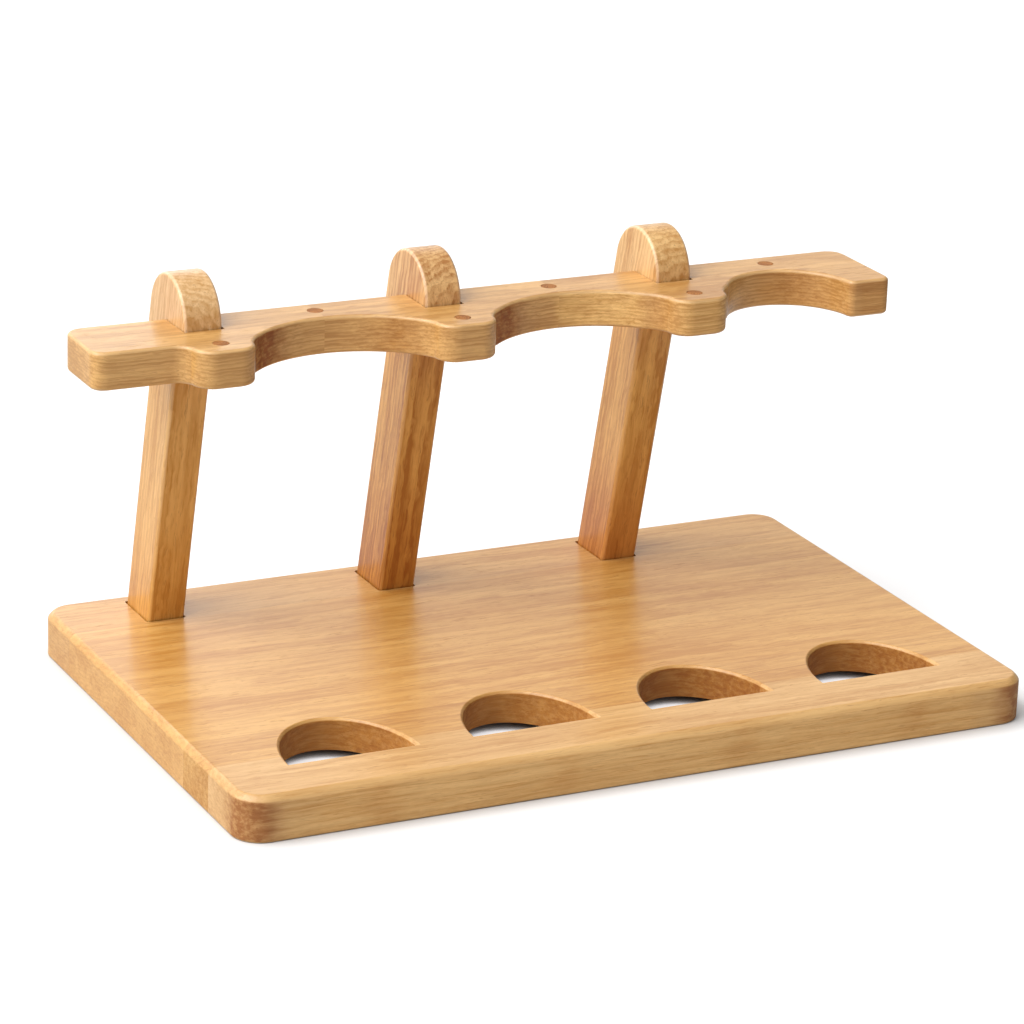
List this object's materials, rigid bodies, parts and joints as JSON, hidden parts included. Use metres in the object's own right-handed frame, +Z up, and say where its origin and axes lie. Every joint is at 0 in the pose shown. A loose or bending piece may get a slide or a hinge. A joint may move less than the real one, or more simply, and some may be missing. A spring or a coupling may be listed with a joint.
{
  "type": "razor stand",
  "caption": "Free-standing wooden stand: a thick base with D-shaped holes along the front and leaning uprights that carry a level scalloped rail for hanging razors and brushes.",
  "frame": {"origin": "middle of the base's underside, on the surface the stand rests on", "axes": "+X along the rail, to the right seen from the front; +Y to the back, away from the D-shaped holes; +Z up"},
  "size_m": [0.328, 0.2044, 0.1606],
  "materials": {
    "base_front_oak": "satin varnish, grain along the board",
    "base_second_oak": "satin varnish, grain along the board",
    "base_middle_oak": "satin varnish, grain along the board",
    "base_back_oak": "satin varnish, grain along the board",
    "upright_oak": "satin varnish, grain up the shank, darker honey tone",
    "rail_oak": "satin varnish, grain along the rail",
    "plug_end_grain": "satin varnish over end grain",
    "dowel_beech": "bare wood",
    "screw_steel": "zinc plated"
  },
  "bodies": {
    "root": {"base_board_front": "base_front_oak", "base_block_1": "base_second_oak", "base_block_2": "base_second_oak", "base_block_3": "base_second_oak", "base_block_4": "base_second_oak", "base_block_5": "base_second_oak", "base_board_middle": "base_middle_oak", "base_board_back": "base_back_oak", "upright_left": "upright_oak", "upright_middle": "upright_oak", "upright_right": "upright_oak", "rail_left": "rail_oak", "rail_middle": "rail_oak", "rail_right": "rail_oak", "nose_plug_left": "plug_end_grain", "nose_plug_middle": "plug_end_grain", "nose_plug_right": "plug_end_grain", "back_plug_left": "plug_end_grain", "back_plug_middle": "plug_end_grain", "back_plug_right": "plug_end_grain", "head_dowel_left": "dowel_beech", "head_dowel_middle": "dowel_beech", "head_dowel_right": "dowel_beech", "joint_tongue_left": "dowel_beech", "joint_tongue_right": "dowel_beech", "foot_screw_left": "screw_steel", "foot_screw_middle": "screw_steel", "foot_screw_right": "screw_steel"}
  },
  "joints": []
}
